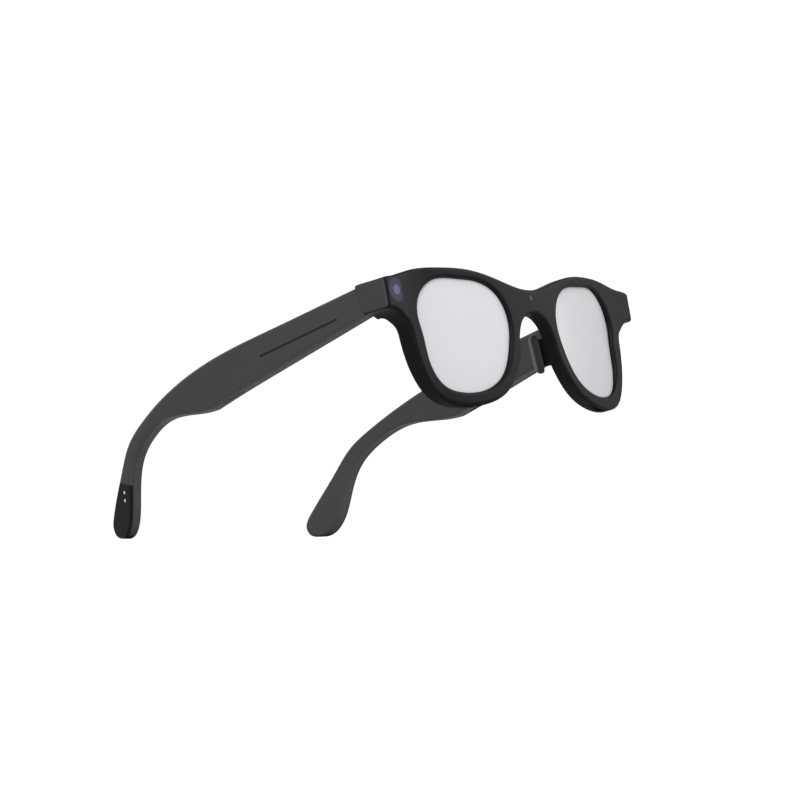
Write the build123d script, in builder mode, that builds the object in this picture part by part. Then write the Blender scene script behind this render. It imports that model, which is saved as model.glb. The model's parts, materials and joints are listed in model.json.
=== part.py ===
from build123d import *
import os
from math import asin, cos, degrees, radians, sin, sqrt, tan

os.makedirs("parts", exist_ok=True)

# The glasses are modelled as they are worn: X to the wearer's left, Y to the back, Z up, with the origin
# in the middle of the front at the height of the lens centres. They are set down on their rims and
# temple tips at the end.

# Front: a moulded shell that follows an upright cylinder and leans forward at the top
lens_width = 42.0
lens_height = 38.7
lens_spacing = 71.7  # from lens centre to lens centre
lens_thickness = 1.8
lens_setback = 1.4  # lens behind the front of its rim
lens_grip = 0.8  # how far a lens reaches into its rim
front_radius = 216.9
front_thickness = 5.0
front_lean = 10.88  # degrees
rim_side = 5.1
rim_top = 3.9
rim_bottom = 4.5
bridge_height = 8.3  # brow over the nose arch
nose_arch = 7.0  # height of the arch above the lens centres
nose_gap = 18.6
face_reach = 10.7  # from a rim's outer side to the side of the front
face_width = 8.6  # flat part that the camera sits in
face_blend = 13.0  # hollow between the flat part and the curved shell
endpiece_height = 9.1

# Temples
temple_length = 136.0
temple_thickness = 7.3
temple_height = 9.6  # at the hinge
temple_drop = 6.7  # centre line below the top of the brow
temple_splay = 2.28  # degrees
pod_length = 70.0  # from the hinge to the step in the lower edge
pod_rise = 7.4  # edges of the pod above and below the centre line
neck_height = 6.2
ear_start = 47.0  # where the temple begins to curve in behind the ear
ear_radius = 202.0
ear_inner_radius = 212.0
tip_drop = 27.2
cover_thickness = 1.7
wall = 1.3
seam_y = 13.1
seam_gap = 0.15
parting_bevel = 0.25

# Hinges
knuckle_radius = 1.8
knuckle_height = 2.1
knuckle_gap = 0.1
pin_radius = 0.6
pin_clearance = 0.03
leaf_thickness = 1.0
leaf_length = 7.5
front_leaf_length = 4.2
screw_head_radius = 1.1
screw_head_height = 0.5
swing_clearance = 0.25

# Fits
snug = 0.03  # around pieces that are set in place
loose = 0.15  # around the button and the power slider

# Edges
front_round = 1.2
back_round = 0.8
temple_round = 1.2
corner_round = 1.6

# Camera in the wearer's right endpiece
camera_inset = 5.7  # centre to the side of the front
camera_drop = 7.9  # centre below the top of the brow
window_radius = 4.15
window_thickness = 0.8
bezel_thickness = 0.8
barrel_radius = 2.9
barrel_length = 3.4
barrel_bore = 1.9
camera_board_size = 7.0
board_thickness = 0.8

# Brow channel and bridge microphone
channel_drop = 1.8  # middle of the channel below the top of the brow
channel_height = 1.2
channel_depth = 1.4
brow_cover_thickness = 0.8
flex_thickness = 0.3
port_drop = 2.9  # centre below the top of the bridge
port_radius = 0.85
port_length = 1.4
port_board_length = 3.4
port_board_height = 2.2
port_board_thickness = 0.6

# Nose pads
pad_length = 13.5
pad_width = 6.6
pad_thickness = 2.4
pad_spread = 12.0  # pad centre from the middle
pad_drop = 4.5
pad_setback = 3.8  # pad centre behind the back of the front

# Electronics in the pods
pod_start = 10.0
board_length = 14.5
battery_length = 24.0
battery_thickness = 3.5
speaker_length = 12.5
speaker_height = 8.0
speaker_thickness = 3.4
bay_gap = 0.8  # between pieces in the pod
grille_length = 11.0
grille_width = 2.6
grille_thickness = 0.7
grille_slots = 8
slot_width = 0.5
touch_length = 33.0
touch_width = 0.7
touch_start = 10.3
touch_height = -1.0  # middle of the strip over the centre line
touch_slope = 0.045
touch_recess = 0.3
button_length = 7.5
button_width = 2.4
button_travel = 0.4
button_proud = 0.6
button_centre = 17.5
button_flange = 0.6
slider_travel = 2.0
slider_length = 4.5
slider_width = 2.2
slider_start = 16.5
slider_flange = 0.7
slider_proud = 0.5

# Gloss charging cap at the wearer's right tip
cap_start = 118.5
cap_turn = 32  # degrees, slant of the joint between the cap and the outer cover
contact_radius = 0.55
contact_pitch = 2.7
magnet_radius = 1.3
contact_along = 123.35  # contacts along the temple, and below its centre line
contact_down = 16.0
contact_turn = 63  # degrees, fall of the row of contacts
magnet_along = 4.5
cap_sink = 0.15  # flat of the cap below the skin at its ends

pieces = {}


def keep(part, label):
    """Labels a finished piece and keeps it for the export."""
    part.label = label
    pieces[label] = part


def keep_right(part, label):
    """Keeps the mirror image of a piece that was modelled on the wearer's left."""
    keep(mirror(part, about=Plane.YZ), label)


def keep_pair(part, label):
    """Keeps a piece of the wearer's left side and its mirror image."""
    keep(part, label + "_left")
    keep_right(part, label + "_right")


# Planes and main places of the front

lean_cos = cos(radians(front_lean))
lean_sin = sin(radians(front_lean))
front_plane = Plane(origin=(0, 0, 0), x_dir=(1, 0, 0), z_dir=(0, -lean_cos, -lean_sin))
front_plan = Plane(origin=(0, 0, 0), x_dir=(1, 0, 0), z_dir=(0, -lean_sin, lean_cos))
half_front = front_thickness / 2
rim_edge = lens_spacing / 2 + lens_width * 0.475 + rim_side
half_width = rim_edge + face_reach
brow_height = lens_height * 0.478 + rim_top
bridge_top = nose_arch + bridge_height
end_top = brow_height - 5.0
end_bottom = end_top - endpiece_height
# A lens, as shares of its width and height: outward and up from its centre
lens_points = [
    (0.475, 0.078), (0.414, 0.357), (0.245, 0.473), (0, 0.478), (-0.238, 0.450), (-0.430, 0.341), (-0.523, 0.129),
    (-0.487, -0.103), (-0.340, -0.372), (-0.120, -0.494), (0.124, -0.514), (0.317, -0.450), (0.428, -0.274),
]


def shell_depth(x, behind=0.0):
    """Depth of the surface that lies that far behind the shell's middle surface, at x."""
    return front_radius - sqrt((front_radius - behind) ** 2 - x**2)


face_slope = asin((half_width - face_width - face_blend) / (front_radius + half_front))
face_end = half_width - face_width
face_start = face_end - face_blend
face_depth = shell_depth(face_start, -half_front) + face_blend * tan(face_slope / 2)
splay_slope = tan(radians(temple_splay))
temple_z = brow_height - temple_drop
seam_depth = seam_y * lean_cos + temple_z * lean_sin
temple_x = half_width + splay_slope * (seam_depth - face_depth)
hinge_x = temple_x - temple_thickness - 0.7
end_inside = hinge_x + 0.4
end_depth = seam_depth + endpiece_height
end_side = half_width + splay_slope * (end_depth - face_depth)
brow_points = [
    (0, bridge_top),
    (nose_gap * 0.46, bridge_top + 1.1),
    (nose_gap * 0.93, brow_height - 3.6),
    (lens_spacing / 2 - 5.5, brow_height - 0.75),
    (lens_spacing / 2 + 8, brow_height),
    (rim_edge - 5, brow_height - 0.7),
    (half_width - 6, brow_height - 2.9),
    (end_side + 1, end_top),
]
lens_front = lens_setback - half_front
lens_back = lens_front + lens_thickness


def lens_loop(side, grown=0.0):
    """The outline of a lens, grown all round."""
    width = lens_width + 2 * grown
    height = lens_height + 2 * grown
    return Spline(*[(side * (lens_spacing / 2 + x * width), y * height) for x, y in lens_points], periodic=True)


def in_shell(outline, front, back):
    """The part of a prism, on an outline in the front's plane, between two depths of the shell."""
    with BuildSketch(front_plan) as ring:
        with Locations((0, front_radius)):
            Circle(front_radius - front)
            Circle(front_radius - back, mode=Mode.SUBTRACT)
    with BuildPart() as slab:
        extrude(outline, amount=-2 * end_depth)
        extrude(ring.sketch, amount=lens_height, both=True, mode=Mode.INTERSECT)
    return slab.part


def lens_slab(side, grown, front, back):
    """A lens outline, grown all round, between two depths of the shell."""
    loop = lens_loop(side, grown)
    with BuildSketch(front_plane.offset(front_thickness)) as outline:
        make_face(loop)
    return in_shell(outline.sketch, front, back)


def brow_slab(height, front, back):
    """A strip that follows the brow from side to side, between two depths of the shell."""
    places = [(x, y - channel_drop) for x, y in brow_points[:-2]]
    with BuildSketch(front_plane.offset(front_thickness)) as strip:
        with BuildLine():
            upper = Spline(*[(x, y + height / 2) for x, y in places], tangents=[(1, 0), (1, -0.2)])
            lower = Spline(*[(x, y - height / 2) for x, y in places], tangents=[(1, 0), (1, -0.2)])
            Line(upper @ 0, lower @ 0)
            Line(upper @ 1, lower @ 1)
        make_face()
        mirror(about=Plane.YZ)
    return in_shell(strip.sketch, front, back)


def facing_front(x, height, depth):
    """A plane that looks out of the front, at a place in the front's plane and that depth behind it."""
    return Plane(
        origin=front_plane.from_local_coords((x, height, -depth)), x_dir=(1, 0, 0), z_dir=front_plane.z_dir
    )


# Outline of the front, and its section in plan

rim_width = lens_width + 2 * rim_side
rim_height = lens_height + rim_top + rim_bottom
rim_lift = (rim_top - rim_bottom) / 2
rim_points = [(lens_spacing / 2 + x * rim_width, rim_lift + y * rim_height) for x, y in lens_points]
arch_start = 25  # degrees up from level, where the nose arch meets the rim
lens_loops = [lens_loop(side) for side in (-1, 1)]

with BuildSketch(front_plane.offset(front_thickness)) as front_outline:
    with BuildLine():
        brow = Spline(*brow_points, tangents=[(1, 0), (0.8, -0.45)])
        end_line = Line(brow @ 1, (end_side + 1, end_bottom))
        under = Spline(
            end_line @ 1,
            (half_width - 4.5, end_bottom - 0.5),
            (rim_edge + 2.4, end_bottom - 3.3),
            (rim_edge, end_bottom - 8.3),
            tangents=[(-1, 0), (-0.08, -1)],
        )
        arch = CenterArc((0, nose_arch - nose_gap / 2), nose_gap / 2, arch_start, 90 - arch_start)
        Spline(under @ 1, *rim_points[:6:-1], arch @ 0, tangents=[(-0.08, -1), arch % 0])
        Line(arch @ 1, brow @ 0)
    make_face()
    mirror(about=Plane.YZ)
    for loop in lens_loops:
        make_face(loop, mode=Mode.SUBTRACT)

with BuildSketch(front_plan) as front_section:
    with BuildLine():
        middle = CenterArc((0, front_radius), front_radius + half_front, 270, degrees(face_slope))
        hollow = TangentArc(middle @ 1, (face_end, face_depth), tangent=middle % 1)
        flat = Line(hollow @ 1, (half_width, face_depth))
        outside = Line(flat @ 1, (end_side, end_depth))
        rear = Line(outside @ 1, (end_inside, end_depth))
        inside = Line(rear @ 1, (end_inside, shell_depth(end_inside, half_front)))
        back_angle = degrees(asin(end_inside / (front_radius - half_front)))
        back = CenterArc((0, front_radius), front_radius - half_front, 270, back_angle)
        Line(back @ 0, middle @ 0)
    make_face()
    mirror(about=Plane.YZ)
    corners = front_section.vertices().filter_by(lambda v: abs(abs(v.X) - half_width) < 0.01)
    fillet(corners, corner_round)
    roots = front_section.vertices().filter_by(lambda v: abs(abs(v.X) - end_inside) < 0.01 and v.Y < end_depth - 1)
    fillet(roots, corner_round)


def runs_along(edge):
    """Which side of the shell an edge runs along: its front, its back, or neither."""
    heading = edge % 0.5
    across = abs(heading.dot(front_plan.z_dir)) > 0.999 or abs(heading.dot(front_plane.z_dir)) > 0.99999
    if across or abs((edge @ 0.5).Y - seam_y) < 0.01:
        return None
    places = [front_plane.to_local_coords(edge @ share) for share in (0.1, 0.5, 0.9)]
    ahead = [shell_depth(min(abs(p.X), end_inside), half_front / 2) + p.Z for p in places]
    outside = [abs(p.X) > half_width - corner_round - 0.01 for p in places]
    if all(gap > 0 or out for gap, out in zip(ahead, outside)):
        return "front"
    return "back"


# Nose pads, each on a foot that grows out of its rim

pad_origin = front_plane.from_local_coords((pad_spread, -pad_drop, -half_front - pad_setback))
pad_up = front_plane.from_local_coords((-0.28, 1, 0.12)) - front_plane.origin
pad_out = front_plane.from_local_coords((-0.72, -0.12, -0.69)) - front_plane.origin
pad_plane = Plane(origin=pad_origin, x_dir=pad_up, z_dir=pad_out)

with BuildPart() as pad_foot:
    with BuildSketch(pad_plane):
        SlotOverall(pad_length * 0.72, pad_width * 0.6)
    extrude(amount=pad_setback + 1.5, dir=front_plane.z_dir)

with BuildPart() as nose_pad:
    with BuildSketch(pad_plane):
        SlotOverall(pad_length, pad_width)
    extrude(amount=pad_thickness)
    fillet(nose_pad.faces().sort_by(Axis(pad_origin, pad_out))[-1].edges(), pad_thickness * 0.6)
    fillet(nose_pad.faces().sort_by(Axis(pad_origin, pad_out))[0].edges(), pad_thickness * 0.2)
keep_pair(nose_pad.part, "nose_pad")

# Hinge, on the wearer's left: two knuckles on the front, one between them on the temple

hinge_plane = Plane(origin=(hinge_x, seam_y, temple_z), x_dir=(1, 0, 0), z_dir=front_plan.z_dir)
knuckle_pitch = knuckle_height + knuckle_gap
hinge_reach = knuckle_pitch + knuckle_height / 2
swing_radius = knuckle_radius + swing_clearance


def around_hinge(radius, low, high):
    """A cylinder around the hinge's axis."""
    with BuildPart() as cylinder:
        with BuildSketch(hinge_plane.offset(low)):
            Circle(radius)
        extrude(amount=high - low)
    return cylinder.part


def leaf_slab(length, grown):
    """The front leaf's plate, grown all round."""
    with BuildPart() as slab:
        with BuildSketch(hinge_plane.offset(-hinge_reach - grown)):
            with Locations((0.4 - grown, -length - grown)):
                Rectangle(leaf_thickness + 2 * grown, length + 2 * grown, align=(Align.MIN, Align.MIN))
        extrude(amount=2 * (hinge_reach + grown))
    return slab.part


with BuildPart() as front_leaf:
    add(leaf_slab(front_leaf_length, 0))
    add(around_hinge(swing_radius, -knuckle_height / 2 - knuckle_gap, knuckle_height / 2 + knuckle_gap),
        mode=Mode.SUBTRACT)
    add(around_hinge(knuckle_radius, -hinge_reach, -knuckle_height / 2 - knuckle_gap))
    add(around_hinge(knuckle_radius, knuckle_height / 2 + knuckle_gap, hinge_reach))
    add(around_hinge(pin_radius + pin_clearance, -hinge_reach, hinge_reach), mode=Mode.SUBTRACT)
keep_pair(front_leaf.part, "hinge_front_leaf")

with BuildPart() as hinge_screw:
    add(around_hinge(pin_radius, -hinge_reach, hinge_reach))
    add(around_hinge(screw_head_radius, hinge_reach, hinge_reach + screw_head_height))
    with BuildSketch(hinge_plane.offset(hinge_reach + screw_head_height)):
        Rectangle(2 * screw_head_radius, 0.3)
    extrude(amount=-screw_head_height / 2, mode=Mode.SUBTRACT)
keep_pair(hinge_screw.part, "hinge_screw")

# Front frame

camera_x = -(half_width - camera_inset)
camera_plane = facing_front(camera_x, brow_height - camera_drop, face_depth)
port_plane = facing_front(0, bridge_top - port_drop, -half_front)
channel_front = half_front - channel_depth
bezel_depth = window_thickness + snug
barrel_depth = bezel_depth + bezel_thickness + snug
board_depth = barrel_depth + barrel_length + snug


def bored(plane, radius, near, far):
    """A cylinder into a plane, from one depth to another."""
    with BuildPart() as cylinder:
        with BuildSketch(plane.offset(-near)):
            Circle(radius)
        extrude(amount=near - far)
    return cylinder.part


with BuildPart() as front_frame:
    extrude(front_outline.sketch, amount=-2 * end_depth)
    extrude(front_section.sketch, amount=lens_height, both=True, mode=Mode.INTERSECT)
    with Locations((0, seam_y + end_depth / 2, temple_z)):
        Box(3 * half_width, end_depth, 3 * endpiece_height, mode=Mode.SUBTRACT)
    fillet(front_frame.edges().filter_by(lambda e: runs_along(e) == "front"), front_round)
    fillet(front_frame.edges().filter_by(lambda e: runs_along(e) == "back"), back_round)
    for foot in (pad_foot.part, mirror(pad_foot.part, about=Plane.YZ)):
        add(foot)
    for side in (-1, 1):
        add(lens_slab(side, lens_grip + snug, lens_front - snug, lens_back + snug), mode=Mode.SUBTRACT)
        seat = leaf_slab(front_leaf_length, snug) + around_hinge(swing_radius, -hinge_reach - 0.3, hinge_reach + 1.2)
        add(seat if side == 1 else mirror(seat, about=Plane.YZ), mode=Mode.SUBTRACT)
    add(brow_slab(channel_height + 2 * snug, channel_front, front_thickness), mode=Mode.SUBTRACT)
    add(bored(camera_plane, window_radius + snug, 0, barrel_depth), mode=Mode.SUBTRACT)
    add(bored(camera_plane, barrel_radius + snug, 0, board_depth), mode=Mode.SUBTRACT)
    add(bored(port_plane, port_radius + snug, 0, front_thickness - channel_depth), mode=Mode.SUBTRACT)
    with BuildSketch(port_plane.offset(channel_depth - front_thickness)):
        Rectangle(port_board_length + 2 * snug, port_board_height + 2 * snug)
    extrude(amount=port_board_thickness + 2 * snug, mode=Mode.SUBTRACT)
    with BuildSketch(camera_plane.offset(-board_depth)):
        Rectangle(camera_board_size + 2 * snug, camera_board_size + 2 * snug)
    extrude(amount=-board_thickness - bay_gap, mode=Mode.SUBTRACT)
    with BuildSketch(camera_plane.offset(-board_depth)):
        with Locations((-camera_inset + wall + 1.6, 0)):
            Rectangle(3.2, camera_board_size - 1.5)
    extrude(amount=-end_depth, mode=Mode.SUBTRACT)
keep(front_frame.part, "front_frame")

for side, name in ((-1, "lens_right"), (1, "lens_left")):
    keep(lens_slab(side, lens_grip, lens_front, lens_back), name)
keep(brow_slab(channel_height, half_front - brow_cover_thickness, half_front), "brow_cover")
keep(brow_slab(channel_height - 0.4, channel_front + snug, channel_front + snug + flex_thickness), "brow_flex")

with BuildPart() as camera_window:
    add(bored(camera_plane, window_radius, 0, window_thickness))
keep(camera_window.part, "camera_window")

with BuildPart() as camera_bezel:
    add(bored(camera_plane, window_radius, bezel_depth, bezel_depth + bezel_thickness))
    add(bored(camera_plane, barrel_bore, bezel_depth, bezel_depth + bezel_thickness), mode=Mode.SUBTRACT)
    chamfer(camera_bezel.edges().sort_by(Axis(camera_plane.origin, camera_plane.z_dir))[-1], bezel_thickness * 0.7)
keep(camera_bezel.part, "camera_bezel")

with BuildPart() as camera_barrel:
    add(bored(camera_plane, barrel_radius, barrel_depth, barrel_depth + barrel_length))
    add(bored(camera_plane, barrel_bore, barrel_depth, barrel_depth + barrel_length - 0.8), mode=Mode.SUBTRACT)
keep(camera_barrel.part, "camera_barrel")

with BuildPart() as camera_lens:
    add(bored(camera_plane, barrel_bore - snug, barrel_depth + 0.3, barrel_depth + 1.3))
    fillet(camera_lens.edges().sort_by(Axis(camera_plane.origin, camera_plane.z_dir))[-1], 0.8)
keep(camera_lens.part, "camera_lens")

with BuildPart() as camera_iris:
    add(bored(camera_plane, barrel_bore - snug, barrel_depth + 1.5, barrel_depth + 1.8))
    add(bored(camera_plane, 0.6, barrel_depth + 1.5, barrel_depth + 1.8), mode=Mode.SUBTRACT)
keep(camera_iris.part, "camera_iris")

with BuildPart() as camera_board:
    with BuildSketch(camera_plane.offset(-board_depth - snug)):
        Rectangle(camera_board_size, camera_board_size)
    extrude(amount=-board_thickness)
keep(camera_board.part, "camera_board")

with BuildPart() as bridge_port:
    add(bored(port_plane, port_radius, 0.1, 0.1 + port_length))
    add(bored(port_plane, port_radius * 0.4, 0.1, 0.1 + port_length), mode=Mode.SUBTRACT)
keep(bridge_port.part, "bridge_microphone_port")

with BuildPart() as bridge_board:
    with BuildSketch(port_plane.offset(channel_depth - front_thickness + snug)):
        Rectangle(port_board_length, port_board_height)
    extrude(amount=port_board_thickness)
keep(bridge_board.part, "bridge_microphone_board")

# Planes and curves of the wearer's left temple

splay_cos = cos(radians(temple_splay))
splay_sin = sin(radians(temple_splay))
temple_origin = (temple_x, seam_y + seam_gap, temple_z)
temple_side = Plane(origin=temple_origin, x_dir=(splay_sin, splay_cos, 0), z_dir=(splay_cos, -splay_sin, 0))
temple_plan = Plane(origin=temple_origin, x_dir=(splay_sin, splay_cos, 0), z_dir=(0, 0, 1))
half_height = temple_height / 2
ear_length = temple_length - pod_length


def ear(share):
    """A distance along the temple, as a share of the way from the step to the tip."""
    return pod_length + share * ear_length


with BuildSketch(temple_side) as temple_outline:
    with BuildLine():
        top_edge = Spline(
            (-1, half_height - 0.05),
            (pod_length * 0.5, pod_rise - 0.9),
            (pod_length * 0.95, pod_rise),
            (ear(0.2), pod_rise * 0.82),
            (ear(0.5), pod_rise * 0.27),
            (ear(0.65), -tip_drop * 0.07),
            (ear(0.76), -tip_drop * 0.28),
            (ear(0.95), -tip_drop * 0.67),
            (ear(1), -tip_drop * 0.86),
            tangents=[(1, 0.05), (0, -1)],
        )
        tip_edge = Spline(top_edge @ 1, (ear(0.965), -tip_drop), (ear(0.86), -tip_drop * 0.965),
                          tangents=[(0, -1), (-0.8, 0.6)])
        ear_edge = Spline(
            tip_edge @ 1,
            (ear(0.742), -tip_drop * 0.58),
            (ear(0.636), -tip_drop * 0.27),
            (ear(0.5), pod_rise * 0.27 - neck_height * 0.83),
            (ear(0.32), pod_rise * 0.6 - neck_height),
            (ear(0.14), -pod_rise * 0.68),
            (ear(0), -pod_rise),
            tangents=[(-0.8, 0.6), (-1, -0.15)],
        )
        bottom_edge = Line(ear_edge @ 1, (-1, -half_height + 0.05))
        Line(bottom_edge @ 1, top_edge @ 0)
    make_face()


def skin(distance, depth, radius):
    """Depth of a curve that is straight to the ear and then bends in, at a distance along the temple."""
    return depth + radius - sqrt(radius**2 - max(distance - ear_start, 0) ** 2)


def temple_band(shallow, deep, deep_radius=None):
    """A band in plan between two depths behind the temple's outer skin."""
    reach = temple_length + 4 - ear_start
    inner_radius = deep_radius or ear_radius - deep
    with BuildSketch(temple_plan) as band:
        with BuildLine():
            outer_line = Line((-2, shallow), (ear_start, shallow))
            outer_radius = ear_radius - shallow
            outer_bend = CenterArc(
                (ear_start, ear_radius), outer_radius, 270, degrees(asin(reach / outer_radius)))
            inner_line = Line((-2, deep), (ear_start, deep))
            inner_bend = CenterArc(
                (ear_start, deep + inner_radius), inner_radius, 270, degrees(asin(reach / inner_radius)))
            Line(outer_line @ 0, inner_line @ 0)
            Line(outer_bend @ 1, inner_bend @ 1)
        make_face()
    return band.sketch


def runs_on(edge, depth, radius):
    """Whether an edge of the temple runs along the curve in plan at a depth."""
    if (edge @ 0.5).Y < seam_y + seam_gap + 0.01 or abs((edge % 0.5).Z) > 0.9999:
        return False
    for share in (0.1, 0.5, 0.9):
        place = temple_plan.to_local_coords(edge @ share)
        if abs(place.Y - skin(place.X, depth, radius)) > 0.01:
            return False
    return True


def temple_half(shallow, deep, round_depth, round_radius):
    """The temple between two depths, with the edges of its skin rounded and those of the parting bevelled."""
    with BuildPart() as half:
        extrude(temple_outline.sketch, amount=4)
        extrude(temple_outline.sketch, amount=-6 * temple_thickness)
        extrude(temple_band(shallow, deep, ear_inner_radius if round_depth else None), amount=2 * tip_drop,
                both=True, mode=Mode.INTERSECT)
        with Locations((temple_x, seam_y + seam_gap, temple_z)):
            Box(8 * temple_thickness, 10, 4 * temple_height, align=(Align.CENTER, Align.MAX, Align.CENTER),
                mode=Mode.SUBTRACT)
        fillet(half.edges().filter_by(lambda e: runs_on(e, round_depth, round_radius)), temple_round)
        chamfer(half.edges().filter_by(lambda e: runs_on(e, cover_thickness, ear_radius - cover_thickness)),
                parting_bevel)
    return half.part


# Covers: the outer one is a thin shell, the inner one a tray that holds everything

inner_depth = temple_thickness - wall
middle_depth = (cover_thickness + inner_depth) / 2
pod_slope = (pod_rise - half_height) / pod_length


def pod_edge(distance):
    """Height of the pod's lower edge below the centre line, which its upper edge stays above."""
    return half_height + pod_slope * distance


def temple_block(start, end, low, high, shallow, deep):
    """A block in the temple: along it, up from its centre line, and in from its skin where it is straight."""
    with BuildPart() as block:
        with BuildSketch(temple_side.offset(-shallow)):
            with Locations((start, low)):
                Rectangle(end - start, high - low, align=(Align.MIN, Align.MIN))
        extrude(amount=shallow - deep)
    return block.part


def in_temple(outline, shallow, deep):
    """The part of a prism, on an outline in the side view, between two depths behind the skin."""
    with BuildPart() as slab:
        extrude(outline, amount=4)
        extrude(outline, amount=-6 * temple_thickness)
        extrude(temple_band(shallow, deep), amount=2 * tip_drop, both=True, mode=Mode.INTERSECT)
    return slab.part


with BuildSketch(temple_side) as bay_outline:
    bay_end = pod_length - wall - 1.5
    Polygon(
        (pod_start, wall - pod_edge(pod_start)),
        (bay_end, wall - pod_edge(bay_end)),
        (bay_end, pod_edge(bay_end) - wall),
        (pod_start, pod_edge(pod_start) - wall),
        align=None,
    )

leaf_shallow = temple_thickness - leaf_thickness
around_knuckles = around_hinge(swing_radius, -hinge_reach - 1.2, hinge_reach + 1.5)

outer_cover = temple_half(0, cover_thickness, 0, ear_radius)

with BuildPart() as inner_cover:
    add(temple_half(cover_thickness, temple_thickness, temple_thickness, ear_inner_radius))
    add(in_temple(bay_outline.sketch, cover_thickness - 0.5, inner_depth), mode=Mode.SUBTRACT)
    add(around_knuckles, mode=Mode.SUBTRACT)
    add(temple_block(-1, leaf_length + snug, -hinge_reach - snug, hinge_reach + snug,
                     leaf_shallow - snug, temple_thickness + 1), mode=Mode.SUBTRACT)

with BuildPart() as temple_leaf:
    add(temple_block(0.3, leaf_length, -hinge_reach, hinge_reach, leaf_shallow, temple_thickness))
    for low, high in ((-hinge_reach - 2, -knuckle_height / 2), (knuckle_height / 2, hinge_reach + 2)):
        add(around_hinge(swing_radius, low, high), mode=Mode.SUBTRACT)
    add(around_hinge(knuckle_radius, -knuckle_height / 2, knuckle_height / 2))
    add(around_hinge(pin_radius + pin_clearance, -knuckle_height, knuckle_height), mode=Mode.SUBTRACT)
keep_pair(temple_leaf.part, "hinge_temple_leaf")

# Speaker, with a grille in the lower edge of the pod in front of the step

grille_start = bay_end - grille_length - 0.8
grille_angle = -degrees(pod_slope)
grille_place = temple_side.from_local_coords((grille_start + grille_length / 2,
                                              -pod_edge(grille_start + grille_length / 2), -middle_depth))
grille_plane = Plane(
    origin=grille_place,
    x_dir=temple_side.x_dir * cos(pod_slope) - Vector(0, 0, sin(pod_slope)),
    z_dir=-temple_side.x_dir * sin(pod_slope) - Vector(0, 0, cos(pod_slope)),
)


def grille_slab(grown):
    """The grille's plate, set into the lower edge."""
    with BuildPart() as slab:
        with BuildSketch(grille_plane.offset(-0.1)):
            SlotOverall(grille_length + 2 * grown, grille_width + 2 * grown)
        extrude(amount=-grille_thickness - grown)
    return slab.part


with BuildPart() as grille:
    add(grille_slab(0))
    with BuildSketch(grille_plane):
        with GridLocations((grille_length - 2) / grille_slots, 0, grille_slots, 1):
            SlotOverall(grille_width * 0.65, slot_width, rotation=90)
    extrude(amount=-2 * grille_thickness, mode=Mode.SUBTRACT)
keep_pair(grille.part, "speaker_grille")

with BuildPart() as inner_cover_with_grille:
    add(inner_cover.part)
    add(grille_slab(snug + 0.1), mode=Mode.SUBTRACT)
    with BuildSketch(grille_plane):
        SlotOverall(grille_length - 1.2, grille_width - 1.0)
    extrude(amount=-2 * wall, mode=Mode.SUBTRACT)
    with BuildSketch(grille_plane):
        SlotOverall(grille_length + 2 * snug, grille_width + 2 * snug)
    extrude(amount=1, mode=Mode.SUBTRACT)

board_start = pod_start + bay_gap
battery_start = board_start + board_length + bay_gap
speaker_start = battery_start + battery_length + bay_gap
board_shallow = cover_thickness + 1.0
board_deep = board_shallow + board_thickness
board_low = 0.4 + wall - pod_edge(board_start)
battery_high = pod_edge(battery_start) - wall - 0.3
speaker_low = wall - pod_edge(speaker_start) + 0.4

battery = Part(temple_block(battery_start, battery_start + battery_length, -battery_high, battery_high,
                            middle_depth - battery_thickness / 2, middle_depth + battery_thickness / 2))
with BuildPart() as battery_cell:
    add(battery)
    fillet(battery_cell.edges().filter_by(lambda e: abs((e % 0.5).dot(temple_side.x_dir)) > 0.99), 0.8)
keep_pair(battery_cell.part, "battery")

with BuildPart() as speaker:
    add(temple_block(speaker_start, speaker_start + speaker_length, speaker_low, speaker_low + speaker_height,
                     middle_depth - speaker_thickness / 2 + 0.3, middle_depth + speaker_thickness / 2 + 0.3))
    fillet(speaker.edges().filter_by(lambda e: abs((e % 0.5).dot(temple_side.z_dir)) > 0.99), 1.2)
keep_pair(speaker.part, "speaker")

keep_right(temple_block(board_start, board_start + board_length, board_low, 1.6, board_shallow, board_deep),
           "main_board")
keep_right(temple_block(board_start + 8.2, board_start + 13.2, -3.2, 1.2, board_deep, board_deep + 1.1), "processor")
keep_right(temple_block(board_start + 1.5, board_start + 5.5, -3.0, 0.6, board_deep, board_deep + 0.9), "memory")
keep(temple_block(board_start, board_start + board_length, board_low, 1.6, board_shallow, board_deep), "audio_board")
keep(temple_block(board_start + 10.4, board_start + 13.6, board_low + 0.2, -1.7, board_deep, board_deep + 0.9),
     "audio_chip")

# Touch strip in the right outer cover, and its board behind the cover

touch_rise = 0.5 * pod_slope * touch_length
touch_plane = Plane(
    origin=temple_side.from_local_coords((touch_start + touch_length / 2, touch_height, 0)),
    x_dir=temple_side.x_dir + Vector(0, 0, touch_slope), z_dir=temple_side.z_dir)


def touch_slab(grown, low, high):
    """A slim bar along the touch strip, between two heights over the cover."""
    with BuildPart() as slab:
        with BuildSketch(touch_plane.offset(low)):
            SlotOverall(touch_length + 2 * grown, touch_width + 2 * grown)
        extrude(amount=high - low)
    return slab.part


keep_right(touch_slab(0, -cover_thickness, -touch_recess), "touch_strip")
keep_right(temple_block(touch_start, touch_start + touch_length, -3.4, 0.6, cover_thickness + 0.05,
                        cover_thickness + 0.35), "touch_board")

# Capture button in the top edge of the right temple, on a switch

button_slope = 1.35 * pod_slope
button_place = temple_side.from_local_coords((button_centre, half_height + button_slope * button_centre, -middle_depth))
button_plane = Plane(
    origin=button_place,
    x_dir=temple_side.x_dir * cos(button_slope) + Vector(0, 0, sin(button_slope)),
    z_dir=Vector(0, 0, cos(button_slope)) - temple_side.x_dir * sin(button_slope),
)


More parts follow.
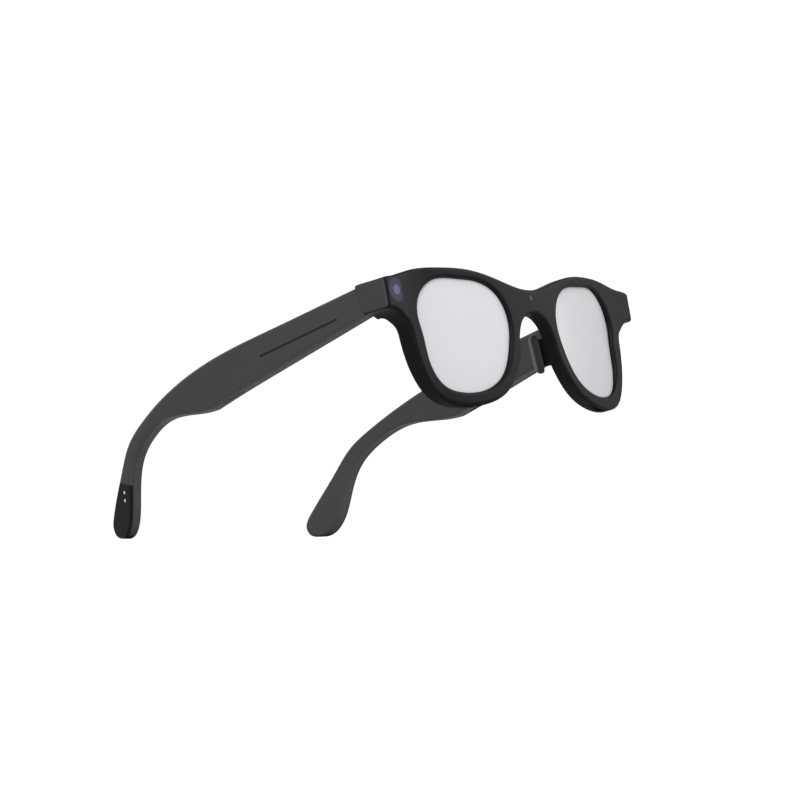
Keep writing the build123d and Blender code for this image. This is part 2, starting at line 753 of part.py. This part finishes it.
def button_slab(grown, low, high):
    """A rounded bar along the button, between two heights over the temple's top edge."""
    with BuildPart() as slab:
        with BuildSketch(button_plane.offset(low)):
            SlotOverall(button_length + 2 * grown, button_width + 2 * grown)
        extrude(amount=high - low)
    return slab.part


flange_top = -wall - 0.35
with BuildPart() as button:
    add(button_slab(0, flange_top, button_proud))
    fillet(button.faces().sort_by(Axis(button_place, button_plane.z_dir))[-1].edges(), 0.4)
    add(button_slab(0.7, flange_top - button_flange, flange_top))
keep_right(button.part, "capture_button")
switch_top = flange_top - button_flange - button_travel - 0.1
with BuildPart() as button_switch:
    with BuildSketch(button_plane.offset(switch_top)):
        Rectangle(4.0, button_width)
    extrude(amount=-0.9)
keep_right(button_switch.part, "button_switch")

# Power slider in the inner wall of the left temple, on a switch


def slider_slab(grown, extra, shallow, deep):
    """A rounded bar along the slider's way, between two depths."""
    with BuildPart() as slab:
        with BuildSketch(temple_side.offset(-shallow)):
            with Locations((slider_start + (slider_length + extra) / 2, 0)):
                SlotOverall(slider_length + extra + 2 * grown, slider_width + 2 * grown)
        extrude(amount=shallow - deep)
    return slab.part


slider_plate = inner_depth - loose - slider_flange
with BuildPart() as slider:
    add(slider_slab(0, 0, inner_depth - loose, temple_thickness + slider_proud))
    fillet(slider.faces().sort_by(Axis(temple_side.origin, temple_side.z_dir))[0].edges(), 0.3)
    add(slider_slab(0.8, 0, slider_plate, inner_depth - loose))
keep(slider.part, "power_slider")
keep(temple_block(slider_start, slider_start + slider_length + slider_travel, -1.4, 1.4, board_deep + 0.05,
                  slider_plate - 0.1), "slide_switch")

# Charging cap, contacts and magnets at the right tip

cap_place = Plane(origin=temple_side.from_local_coords((cap_start + 2.2, -0.46 * tip_drop, 0)),
                  x_dir=temple_side.x_dir, z_dir=temple_side.z_dir).location
cap_plane = Plane(cap_place * Rotation(0, 0, cap_turn))
cap_end = temple_length - 2
cap_slope = (skin(cap_end, 0, ear_radius) - skin(cap_start, 0, ear_radius)) / (cap_end - cap_start)


def cap_depth(distance):
    """Depth of the flat of the cap, which touches the skin at both its ends."""
    return skin(cap_start, 0, ear_radius) + cap_slope * (distance - cap_start) + cap_sink


with BuildPart() as cap_region:
    with BuildSketch(cap_plane.offset(4)):
        Rectangle(4 * temple_thickness, 4 * temple_thickness, align=(Align.CENTER, Align.MAX))
    extrude(amount=-8 * temple_thickness)

with BuildPart() as charging_cap:
    add(outer_cover)
    add(cap_region.part, mode=Mode.INTERSECT)
    with BuildSketch(temple_plan):
        Polygon(
            (cap_start - 12, cap_depth(cap_start - 12)),
            (cap_end + 12, cap_depth(cap_end + 12)),
            (cap_end + 12, cap_depth(cap_end + 12) - 20),
            (cap_start - 12, cap_depth(cap_start - 12) - 20),
            align=None,
        )
    extrude(amount=3 * tip_drop, both=True, mode=Mode.SUBTRACT)

contact_place = Plane(
    origin=temple_side.from_local_coords((contact_along, -contact_down, -cap_depth(contact_along))),
    x_dir=temple_side.x_dir - temple_side.z_dir * cap_slope,
    z_dir=temple_side.z_dir + temple_side.x_dir * cap_slope,
).location
contact_plane = Plane(contact_place * Rotation(0, 0, -contact_turn))
with BuildPart() as contacts:
    with BuildSketch(contact_plane):
        with GridLocations(contact_pitch, 0, 2, 1):
            Circle(contact_radius)
    extrude(amount=-cover_thickness * 0.7)
keep_right(contacts.part, "charge_contacts")
with BuildPart() as magnets:
    with BuildSketch(contact_plane.offset(-cover_thickness - 0.6)):
        with Locations((magnet_along, 0), (magnet_along + 3.6, 0)):
            Circle(magnet_radius)
    extrude(amount=-1.5)
keep_right(magnets.part, "charge_magnets")

with BuildPart() as charging_cap_bored:
    add(charging_cap.part)
    with BuildSketch(contact_plane):
        with GridLocations(contact_pitch, 0, 2, 1):
            Circle(contact_radius + snug)
    extrude(amount=-cover_thickness, both=True, mode=Mode.SUBTRACT)
keep_right(charging_cap_bored.part, "charging_cap")

# The two pairs of covers, each with its own openings

keep(outer_cover, "temple_outer_cover_left")
with BuildPart() as outer_cover_right:
    add(outer_cover)
    add(cap_region.part, mode=Mode.SUBTRACT)
    add(touch_slab(snug, -cover_thickness - 1, 2), mode=Mode.SUBTRACT)
keep_right(outer_cover_right.part, "temple_outer_cover_right")

with BuildPart() as inner_cover_left:
    add(inner_cover_with_grille.part)
    add(slider_slab(loose, slider_travel, inner_depth - 0.5, temple_thickness + 2), mode=Mode.SUBTRACT)
keep(inner_cover_left.part, "temple_inner_cover_left")
with BuildPart() as inner_cover_right:
    add(inner_cover_with_grille.part)
    add(button_slab(loose, -wall - 1, 3), mode=Mode.SUBTRACT)
    with BuildSketch(contact_plane.offset(-cover_thickness - 0.6 + snug)):
        with Locations((magnet_along, 0), (magnet_along + 3.6, 0)):
            Circle(magnet_radius + snug)
    extrude(amount=-1.5 - 2 * snug, mode=Mode.SUBTRACT)
keep_right(inner_cover_right.part, "temple_inner_cover_right")

# Down on the rims and the temple tips, with the origin under the middle


def lowest(label, tilt):
    """The lowest point of a piece, and how far back its middle is, when everything is tilted."""
    box = pieces[label].rotate(Axis.X, tilt).bounding_box()
    return box.min.Z, box.center().Y


tilt = 0.0
for attempt in range(4):
    front_low, front_y = lowest("front_frame", tilt)
    tip_low, tip_y = lowest("temple_inner_cover_left", tilt)
    tilt -= degrees((tip_low - front_low) / (temple_length - 5))
box = Compound(children=[part.rotate(Axis.X, tilt) for part in pieces.values()]).bounding_box()
at_rest = Location((0, -box.center().Y, -box.min.Z)) * Location((0, 0, 0), (tilt, 0, 0))
for label, part in pieces.items():
    export_step(part.moved(at_rest), f"parts/{label}.step")
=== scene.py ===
import json
import math
import bpy
from mathutils import Matrix, Vector


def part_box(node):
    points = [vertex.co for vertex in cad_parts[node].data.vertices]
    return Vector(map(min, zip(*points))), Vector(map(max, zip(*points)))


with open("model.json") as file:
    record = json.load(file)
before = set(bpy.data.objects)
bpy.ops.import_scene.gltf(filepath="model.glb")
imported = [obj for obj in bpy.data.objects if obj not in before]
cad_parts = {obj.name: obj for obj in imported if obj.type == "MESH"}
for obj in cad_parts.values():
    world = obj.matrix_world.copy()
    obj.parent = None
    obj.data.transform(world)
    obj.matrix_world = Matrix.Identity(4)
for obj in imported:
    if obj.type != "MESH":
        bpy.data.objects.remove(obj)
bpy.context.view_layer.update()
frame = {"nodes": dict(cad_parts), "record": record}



nodes = frame["nodes"]
joints = {joint["name"]: joint for joint in frame["record"]["behaviour"]["joints"]}
bpy.ops.object.select_all(action="DESELECT")
print("frame loaded:", len(nodes), "pieces")


class Wire:
    # a value in a material: + - and * add Math nodes
    def __init__(self, finish, socket):
        self.finish = finish
        self.socket = socket

    def maths(self, operation, first, second=0.0):
        return self.finish.make("Math", {"operation": operation}, {0: first, 1: second})

    def __add__(self, other):
        return self.maths("ADD", self, other)

    def __radd__(self, other):
        return self.maths("ADD", other, self)

    def __sub__(self, other):
        return self.maths("SUBTRACT", self, other)

    def __rsub__(self, other):
        return self.maths("SUBTRACT", other, self)

    def __mul__(self, other):
        return self.maths("MULTIPLY", self, other)

    def __rmul__(self, other):
        return self.maths("MULTIPLY", other, self)

    def above(self, other):
        return self.maths("GREATER_THAN", self, other)


class Finish:
    # one material, built node by node
    def __init__(self, name):
        self.material = bpy.data.materials.new(name)
        self.material.use_nodes = True
        self.tree = self.material.node_tree
        self.tree.nodes.clear()
        self.place = self.make("TexCoord", {}, {}, "Object")

    def make(self, kind, settings, inputs, output=0):
        node = self.tree.nodes.new("ShaderNode" + kind)
        for key, value in settings.items():
            if key == "stops":
                ramp = node.color_ramp
                while len(ramp.elements) < len(value):
                    ramp.elements.new(1.0)
                for element, (where, colour) in zip(ramp.elements, value):
                    element.position = where
                    element.color = (*colour, 1.0)
            else:
                setattr(node, key, value)
        for key, value in inputs.items():
            socket = node.inputs[key]
            if isinstance(value, Wire):
                self.tree.links.new(value.socket, socket)
            elif isinstance(value, tuple) and len(value) == 3 and socket.type == "RGBA":
                socket.default_value = (*value, 1.0)
            else:
                socket.default_value = value
        return Wire(self, node.outputs[output] if len(node.outputs) else None)

    def grain(self, perMetre, detail=3.0, stretch=(1.0, 1.0, 1.0)):
        place = self.make("Mapping", {}, {"Vector": self.place, "Scale": stretch})
        return self.make("TexNoise", {}, {"Vector": place, "Scale": perMetre, "Detail": detail})

    def blend(self, amount, first, second):
        return self.make("Mix", {"data_type": "RGBA"}, {0: amount, 6: first, 7: second}, 2)

    def bump(self, height, depth, strength=0.5):
        return self.make("Bump", {}, {"Height": height, "Distance": depth, "Strength": strength})

    def surface(self, **inputs):
        named = {key.replace("_", " "): value for key, value in inputs.items()}
        shader = self.make("BsdfPrincipled", {}, named)
        self.make("OutputMaterial", {}, {"Surface": shader})
        return self.material


# Plastics: a moulded grain, and rubbed and dusty places that make the sheen uneven

# The pale grey here is a painted lit tone: the temples and the endpieces' sideways faces are the same dark
# plastic as the front, coloured as pale as side light shows them.
litFaceGrey = dict(dark=(0.048, 0.048, 0.049), light=(0.060, 0.060, 0.061))
mouldedPlastics = {
    "templeShell": dict(dark=litFaceGrey["dark"], light=litFaceGrey["light"], gloss=0.52, rub=0.16, grain=5200,
                        depth=0.00004, level=0.25),
    # the front shell gets a painted lit tone on its sideways faces at the endpieces
    "frontShell": dict(dark=(0.0035, 0.0035, 0.004), light=(0.0065, 0.0065, 0.0075), gloss=0.42, rub=0.14,
                       grain=7000, depth=0.00002, level=0.12, side=litFaceGrey, sideFrom=0.0695),
    "trimPlastic": dict(dark=(0.009, 0.009, 0.0095), light=(0.016, 0.016, 0.017), gloss=0.3, rub=0.12,
                        grain=9000, depth=0.00001, level=0.5),
    "speakerPlastic": dict(dark=(0.02, 0.02, 0.021), light=(0.034, 0.034, 0.035), gloss=0.55, rub=0.1,
                           grain=4200, depth=0.00004, level=0.4),
    "chipPlastic": dict(dark=(0.012, 0.012, 0.013), light=(0.022, 0.022, 0.022), gloss=0.6, rub=0.1,
                        grain=9000, depth=0.00002, level=0.4),
}
moulding = dict(rubbedPatches=55.0, fineShare=0.6, facingOut=0.75)


def mouldedPlastic(name, look):
    finish = Finish(name)
    fine = finish.grain(look["grain"], 4.0)
    rubbed = finish.grain(moulding["rubbedPatches"], 2.0, (1.0, 0.4, 1.0))
    wear = (rubbed - 0.5) * 2.0
    tone = fine * moulding["fineShare"] + rubbed * (1.0 - moulding["fineShare"])
    colour = finish.blend(tone, look["dark"], look["light"])
    if "side" in look:  # painted lit tone on the endpieces' sideways faces, the same pale grey as the temples
        facing = finish.make("SeparateXYZ", {}, {"Vector": finish.make("TexCoord", {}, {}, "Normal")})
        outside = facing.maths("ABSOLUTE", facing).above(moulding["facingOut"])
        place = finish.make("SeparateXYZ", {}, {"Vector": finish.place})
        outside = outside * place.maths("ABSOLUTE", place).above(look["sideFrom"])
        sideColour = finish.blend(tone, look["side"]["dark"], look["side"]["light"])
        colour = finish.blend(outside, colour, sideColour)
    roughness = look["gloss"] + look["rub"] * (fine - 0.5) + 0.5 * look["rub"] * wear
    return finish.surface(Base_Color=colour, Roughness=roughness, Specular_IOR_Level=look["level"],
                          Normal=finish.bump(fine, look["depth"], 0.6))


lensLook = dict(middle=(0.63, 0.64, 0.655), edge=(0.60, 0.61, 0.63), gloss=0.22, coat=0.1,
                haze=130.0, smear=22.0)


def lensFinish():
    finish = Finish("lensCoating")
    haze = finish.grain(lensLook["haze"], 3.0)
    smear = finish.grain(lensLook["smear"], 1.0, (1.0, 1.0, 0.5))
    colour = finish.blend(smear, lensLook["edge"], lensLook["middle"])
    return finish.surface(Base_Color=colour, Roughness=lensLook["gloss"] + 0.06 * haze,
                          Specular_IOR_Level=0.2, Coat_Weight=lensLook["coat"], Coat_Roughness=0.05,
                          Normal=finish.bump(haze, 0.00001, 0.1))


padLook = dict(dark=(0.012, 0.012, 0.013), light=(0.02, 0.02, 0.021), gloss=0.58, grain=2600.0, film=160.0)


def padFinish():
    finish = Finish("padSilicone")
    skin = finish.grain(padLook["grain"], 4.0)
    film = finish.grain(padLook["film"], 2.0)
    return finish.surface(Base_Color=finish.blend(film, padLook["dark"], padLook["light"]),
                          Roughness=padLook["gloss"] + 0.16 * skin, Specular_IOR_Level=0.4, Sheen_Weight=0.25,
                          Sheen_Roughness=0.4, Normal=finish.bump(skin, 0.00003, 0.5))


metals = {
    "hingeSteel": dict(dark=(0.16, 0.16, 0.165), light=(0.30, 0.30, 0.31), gloss=0.3,
                       stretch=(1.0, 1.0, 0.06), grain=9000),
    "contactPlate": dict(dark=(0.86, 0.86, 0.85), light=(0.95, 0.95, 0.94), gloss=0.34,
                         stretch=(1.0, 1.0, 1.0), grain=6000),
    "batteryFoil": dict(dark=(0.40, 0.41, 0.43), light=(0.56, 0.57, 0.59), gloss=0.3,
                        stretch=(1.0, 0.3, 1.0), grain=1500),
}


def metalFinish(name, look):
    finish = Finish(name)
    brushed = finish.grain(look["grain"], 3.0, look["stretch"])
    stain = finish.grain(240.0, 2.0)
    return finish.surface(Base_Color=finish.blend(brushed, look["dark"], look["light"]), Metallic=1.0,
                          Roughness=look["gloss"] + 0.14 * brushed + 0.1 * stain,
                          Normal=finish.bump(brushed, 0.00001, 0.5))


capLook = dict(dark=(0.0012, 0.0012, 0.0014), light=(0.0025, 0.0025, 0.0028), gloss=0.09)


def capFinish():
    finish = Finish("tipLacquer")
    hairlines = finish.grain(4000.0, 2.0, (1.0, 0.05, 1.0))
    prints = finish.grain(300.0, 3.0)
    return finish.surface(Base_Color=finish.blend(prints, capLook["dark"], capLook["light"]),
                          Roughness=capLook["gloss"] + 0.05 * prints + 0.03 * hairlines,
                          Specular_IOR_Level=0.22, Normal=finish.bump(hairlines, 0.000003, 0.2))


boardLook = dict(mask=(0.01, 0.05, 0.025), track=(0.03, 0.12, 0.06), pitch=900.0,
                 weave=3000.0, trackEdge=0.45)


def boardFinish():
    finish = Finish("boardMask")
    cells = finish.make("TexVoronoi", {"distance": "MANHATTAN"},
                        {"Vector": finish.place, "Scale": boardLook["pitch"]})
    weave = finish.grain(boardLook["weave"], 2.0)
    tracks = cells.above(boardLook["trackEdge"])
    return finish.surface(Base_Color=finish.blend(tracks, boardLook["mask"], boardLook["track"]),
                          Roughness=0.3 + 0.15 * weave, Coat_Weight=0.3, Coat_Roughness=0.2,
                          Normal=finish.bump(tracks * 0.5 + weave * 0.5, 0.00003, 0.4))


flexLook = dict(film=(0.20, 0.085, 0.02), copper=(0.36, 0.17, 0.05), pitch=700.0, grain=1400.0)


def flexFinish():
    finish = Finish("flexFilm")
    tracks = finish.make("TexWave", {"bands_direction": "Z"},
                         {"Vector": finish.place, "Scale": flexLook["pitch"], "Distortion": 0.4})
    film = finish.grain(flexLook["grain"], 2.0)
    return finish.surface(Base_Color=finish.blend(tracks, flexLook["film"], flexLook["copper"]),
                          Roughness=0.35 + 0.15 * film, Normal=finish.bump(tracks, 0.00002, 0.4))


# Camera window: a dark violet coating round a lavender pupil

glassLook = dict(dot=(0.008, 0.007, 0.02), pupil=(0.095, 0.085, 0.16), ring=(0.012, 0.008, 0.045),
                 rim=(0.005, 0.004, 0.012), pupilRadius=0.0017)


def glassFinish():
    finish = Finish("cameraGlass")
    low, high = (Vector(corner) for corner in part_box("camera_window"))
    middle = (low + high) / 2
    radius = (high - low).x / 2
    offset = finish.make("VectorMath", {"operation": "SUBTRACT"}, {0: finish.place, 1: tuple(middle)})
    apart = finish.make("VectorMath", {"operation": "LENGTH"}, {0: offset}, "Value")
    film = finish.grain(900.0, 3.0)
    share = apart * (1.0 / radius) + 0.02 * (film - 0.5)
    pupil = glassLook["pupilRadius"] / radius
    colour = finish.make("ValToRGB", {"stops": [
        (0.0, glassLook["dot"]), (0.07, glassLook["dot"]), (0.11, glassLook["pupil"]),
        (pupil * 0.96, glassLook["pupil"]), (pupil * 1.06, glassLook["ring"]), (0.84, glassLook["ring"]),
        (0.92, glassLook["rim"])]}, {"Fac": share})
    return finish.surface(Base_Color=colour, Roughness=0.14 + 0.06 * film, Specular_IOR_Level=0.14,
                          Normal=finish.bump(film, 0.000003, 0.1))


finishes = {name: mouldedPlastic(name, look) for name, look in mouldedPlastics.items()}
finishes.update({name: metalFinish(name, look) for name, look in metals.items()})
finishes.update(lens=lensFinish(), pad=padFinish(), cap=capFinish(), board=boardFinish(), flex=flexFinish(),
                glass=glassFinish())

finishOfSlot = {
    "front_shell": "frontShell", "temple_shell": "templeShell", "lens": "lens", "nose_pad": "pad",
    "hinge_metal": "hingeSteel", "camera_glass": "glass", "camera_ring": "trimPlastic", "board": "board",
    "chip": "chipPlastic", "trim": "trimPlastic", "battery": "batteryFoil", "speaker": "speakerPlastic",
    "flex": "flex", "tip_gloss": "cap", "contact": "contactPlate",
}
finishOfNode = {"charge_magnets": "cap"}  # lacquered like the tip they sit in
for part in frame["record"]["subparts"]:
    piece = nodes[part["node"]]
    finishName = finishOfNode.get(part["node"], finishOfSlot[part["material_slot"]])
    for slot in piece.material_slots:
        slot.material = finishes[finishName]
print("finishes:", len(finishes))

# The camera is given for the glasses as worn: the left fold hinge tells how they are set down here

hingeWorn = dict(place=(0.06404008, 0.0131, 0.0157), lean=math.radians(10.88))
hinge = joints["temple_left_fold"]
leanHere = math.atan2(-hinge["axis"][1], hinge["axis"][2])
setDown = Matrix.Rotation(leanHere - hingeWorn["lean"], 4, "X")
setDown = Matrix.Translation(Vector(hinge["pos_m"]) - setDown @ Vector(hingeWorn["place"])) @ setDown

cameraLook = dict(place=(-1.22431, -0.75769, -0.38330), forward=(0.80481602, 0.53668093, 0.25346549),
                  up=(-0.0183361, -0.40436528, 0.91441375), lens=199.8)


def addCamera():
    forward = Vector(cameraLook["forward"]).normalized()
    right = forward.cross(Vector(cameraLook["up"])).normalized()
    up = right.cross(forward)
    turn = Matrix((right, up, -forward)).transposed().to_4x4()
    bpy.ops.object.camera_add()
    camera = bpy.context.object
    camera.matrix_world = setDown @ Matrix.Translation(cameraLook["place"]) @ turn
    camera.data.lens = cameraLook["lens"]
    camera.data.sensor_width = 36.0
    camera.data.clip_start = 0.05
    camera.data.clip_end = 30.0
    bpy.context.scene.camera = camera


addCamera()
print("camera placed")

# Studio: a pale floor that is clear from below, a white sky for the camera and soft lamps

floorLook = dict(size=6.0, drop=0.0002, pale=(0.80, 0.80, 0.79), shade=(0.77, 0.77, 0.765))


def addFloor():
    bpy.ops.mesh.primitive_plane_add(size=floorLook["size"], location=(0, 0, -floorLook["drop"]))
    floor = bpy.context.object
    floor.name = "studioFloor"
    bpy.ops.object.transform_apply(location=True, rotation=True, scale=True)
    finish = Finish("floorPaper")
    fibres = finish.grain(400.0, 4.0)
    paper = finish.make("BsdfPrincipled", {}, {
        "Base Color": finish.blend(fibres, floorLook["shade"], floorLook["pale"]),
        "Roughness": 0.8 + 0.1 * fibres,
        "Normal": finish.bump(fibres, 0.00005, 0.2)})
    clear = finish.make("BsdfTransparent", {}, {})
    under = finish.make("NewGeometry", {}, {}, "Backfacing")
    sheet = finish.make("MixShader", {}, {0: under, 1: paper, 2: clear})
    finish.make("OutputMaterial", {}, {"Surface": sheet})
    floor.data.materials.append(finish.material)


skyLook = dict(seen=((1.0, 1.0, 1.0), 1.05), light=((0.97, 0.98, 1.0), 0.42))


def addSky():
    world = bpy.data.worlds.new("studioSky")
    bpy.context.scene.world = world
    world.use_nodes = True
    tree = world.node_tree
    tree.nodes.clear()
    direct = tree.nodes.new("ShaderNodeLightPath")
    mix = tree.nodes.new("ShaderNodeMixShader")
    out = tree.nodes.new("ShaderNodeOutputWorld")
    tree.links.new(direct.outputs["Is Camera Ray"], mix.inputs[0])
    for socket, part in ((1, "light"), (2, "seen")):
        colour, strength = skyLook[part]
        glow = tree.nodes.new("ShaderNodeBackground")
        glow.inputs["Color"].default_value = (*colour, 1.0)
        glow.inputs["Strength"].default_value = strength
        tree.links.new(glow.outputs[0], mix.inputs[socket])
    tree.links.new(mix.outputs[0], out.inputs["Surface"])


lamps = {
    "keyLamp": dict(place=(-0.9, -1.0, 0.75), size=0.9, power=14.0),
    "fillLamp": dict(place=(0.9, -0.9, 0.5), size=1.0, power=6.0),
    "backLamp": dict(place=(0.2, 1.2, 0.9), size=0.9, power=7.0),
    "underLamp": dict(place=(-0.9, -0.2, -0.5), size=0.7, power=4.5),
}


def addLamp(name, look):
    bpy.ops.object.light_add(type="AREA", location=look["place"])
    lamp = bpy.context.object
    lamp.name = name
    lamp.data.size = look["size"]
    lamp.data.energy = look["power"]
    aim = Vector((0.0, 0.0, 0.02)) - Vector(look["place"])
    lamp.rotation_euler = aim.to_track_quat("-Z", "Y").to_euler()


addFloor()
addSky()
for name, look in lamps.items():
    addLamp(name, look)
bpy.context.scene.view_settings.view_transform = "Standard"
print("studio lit")
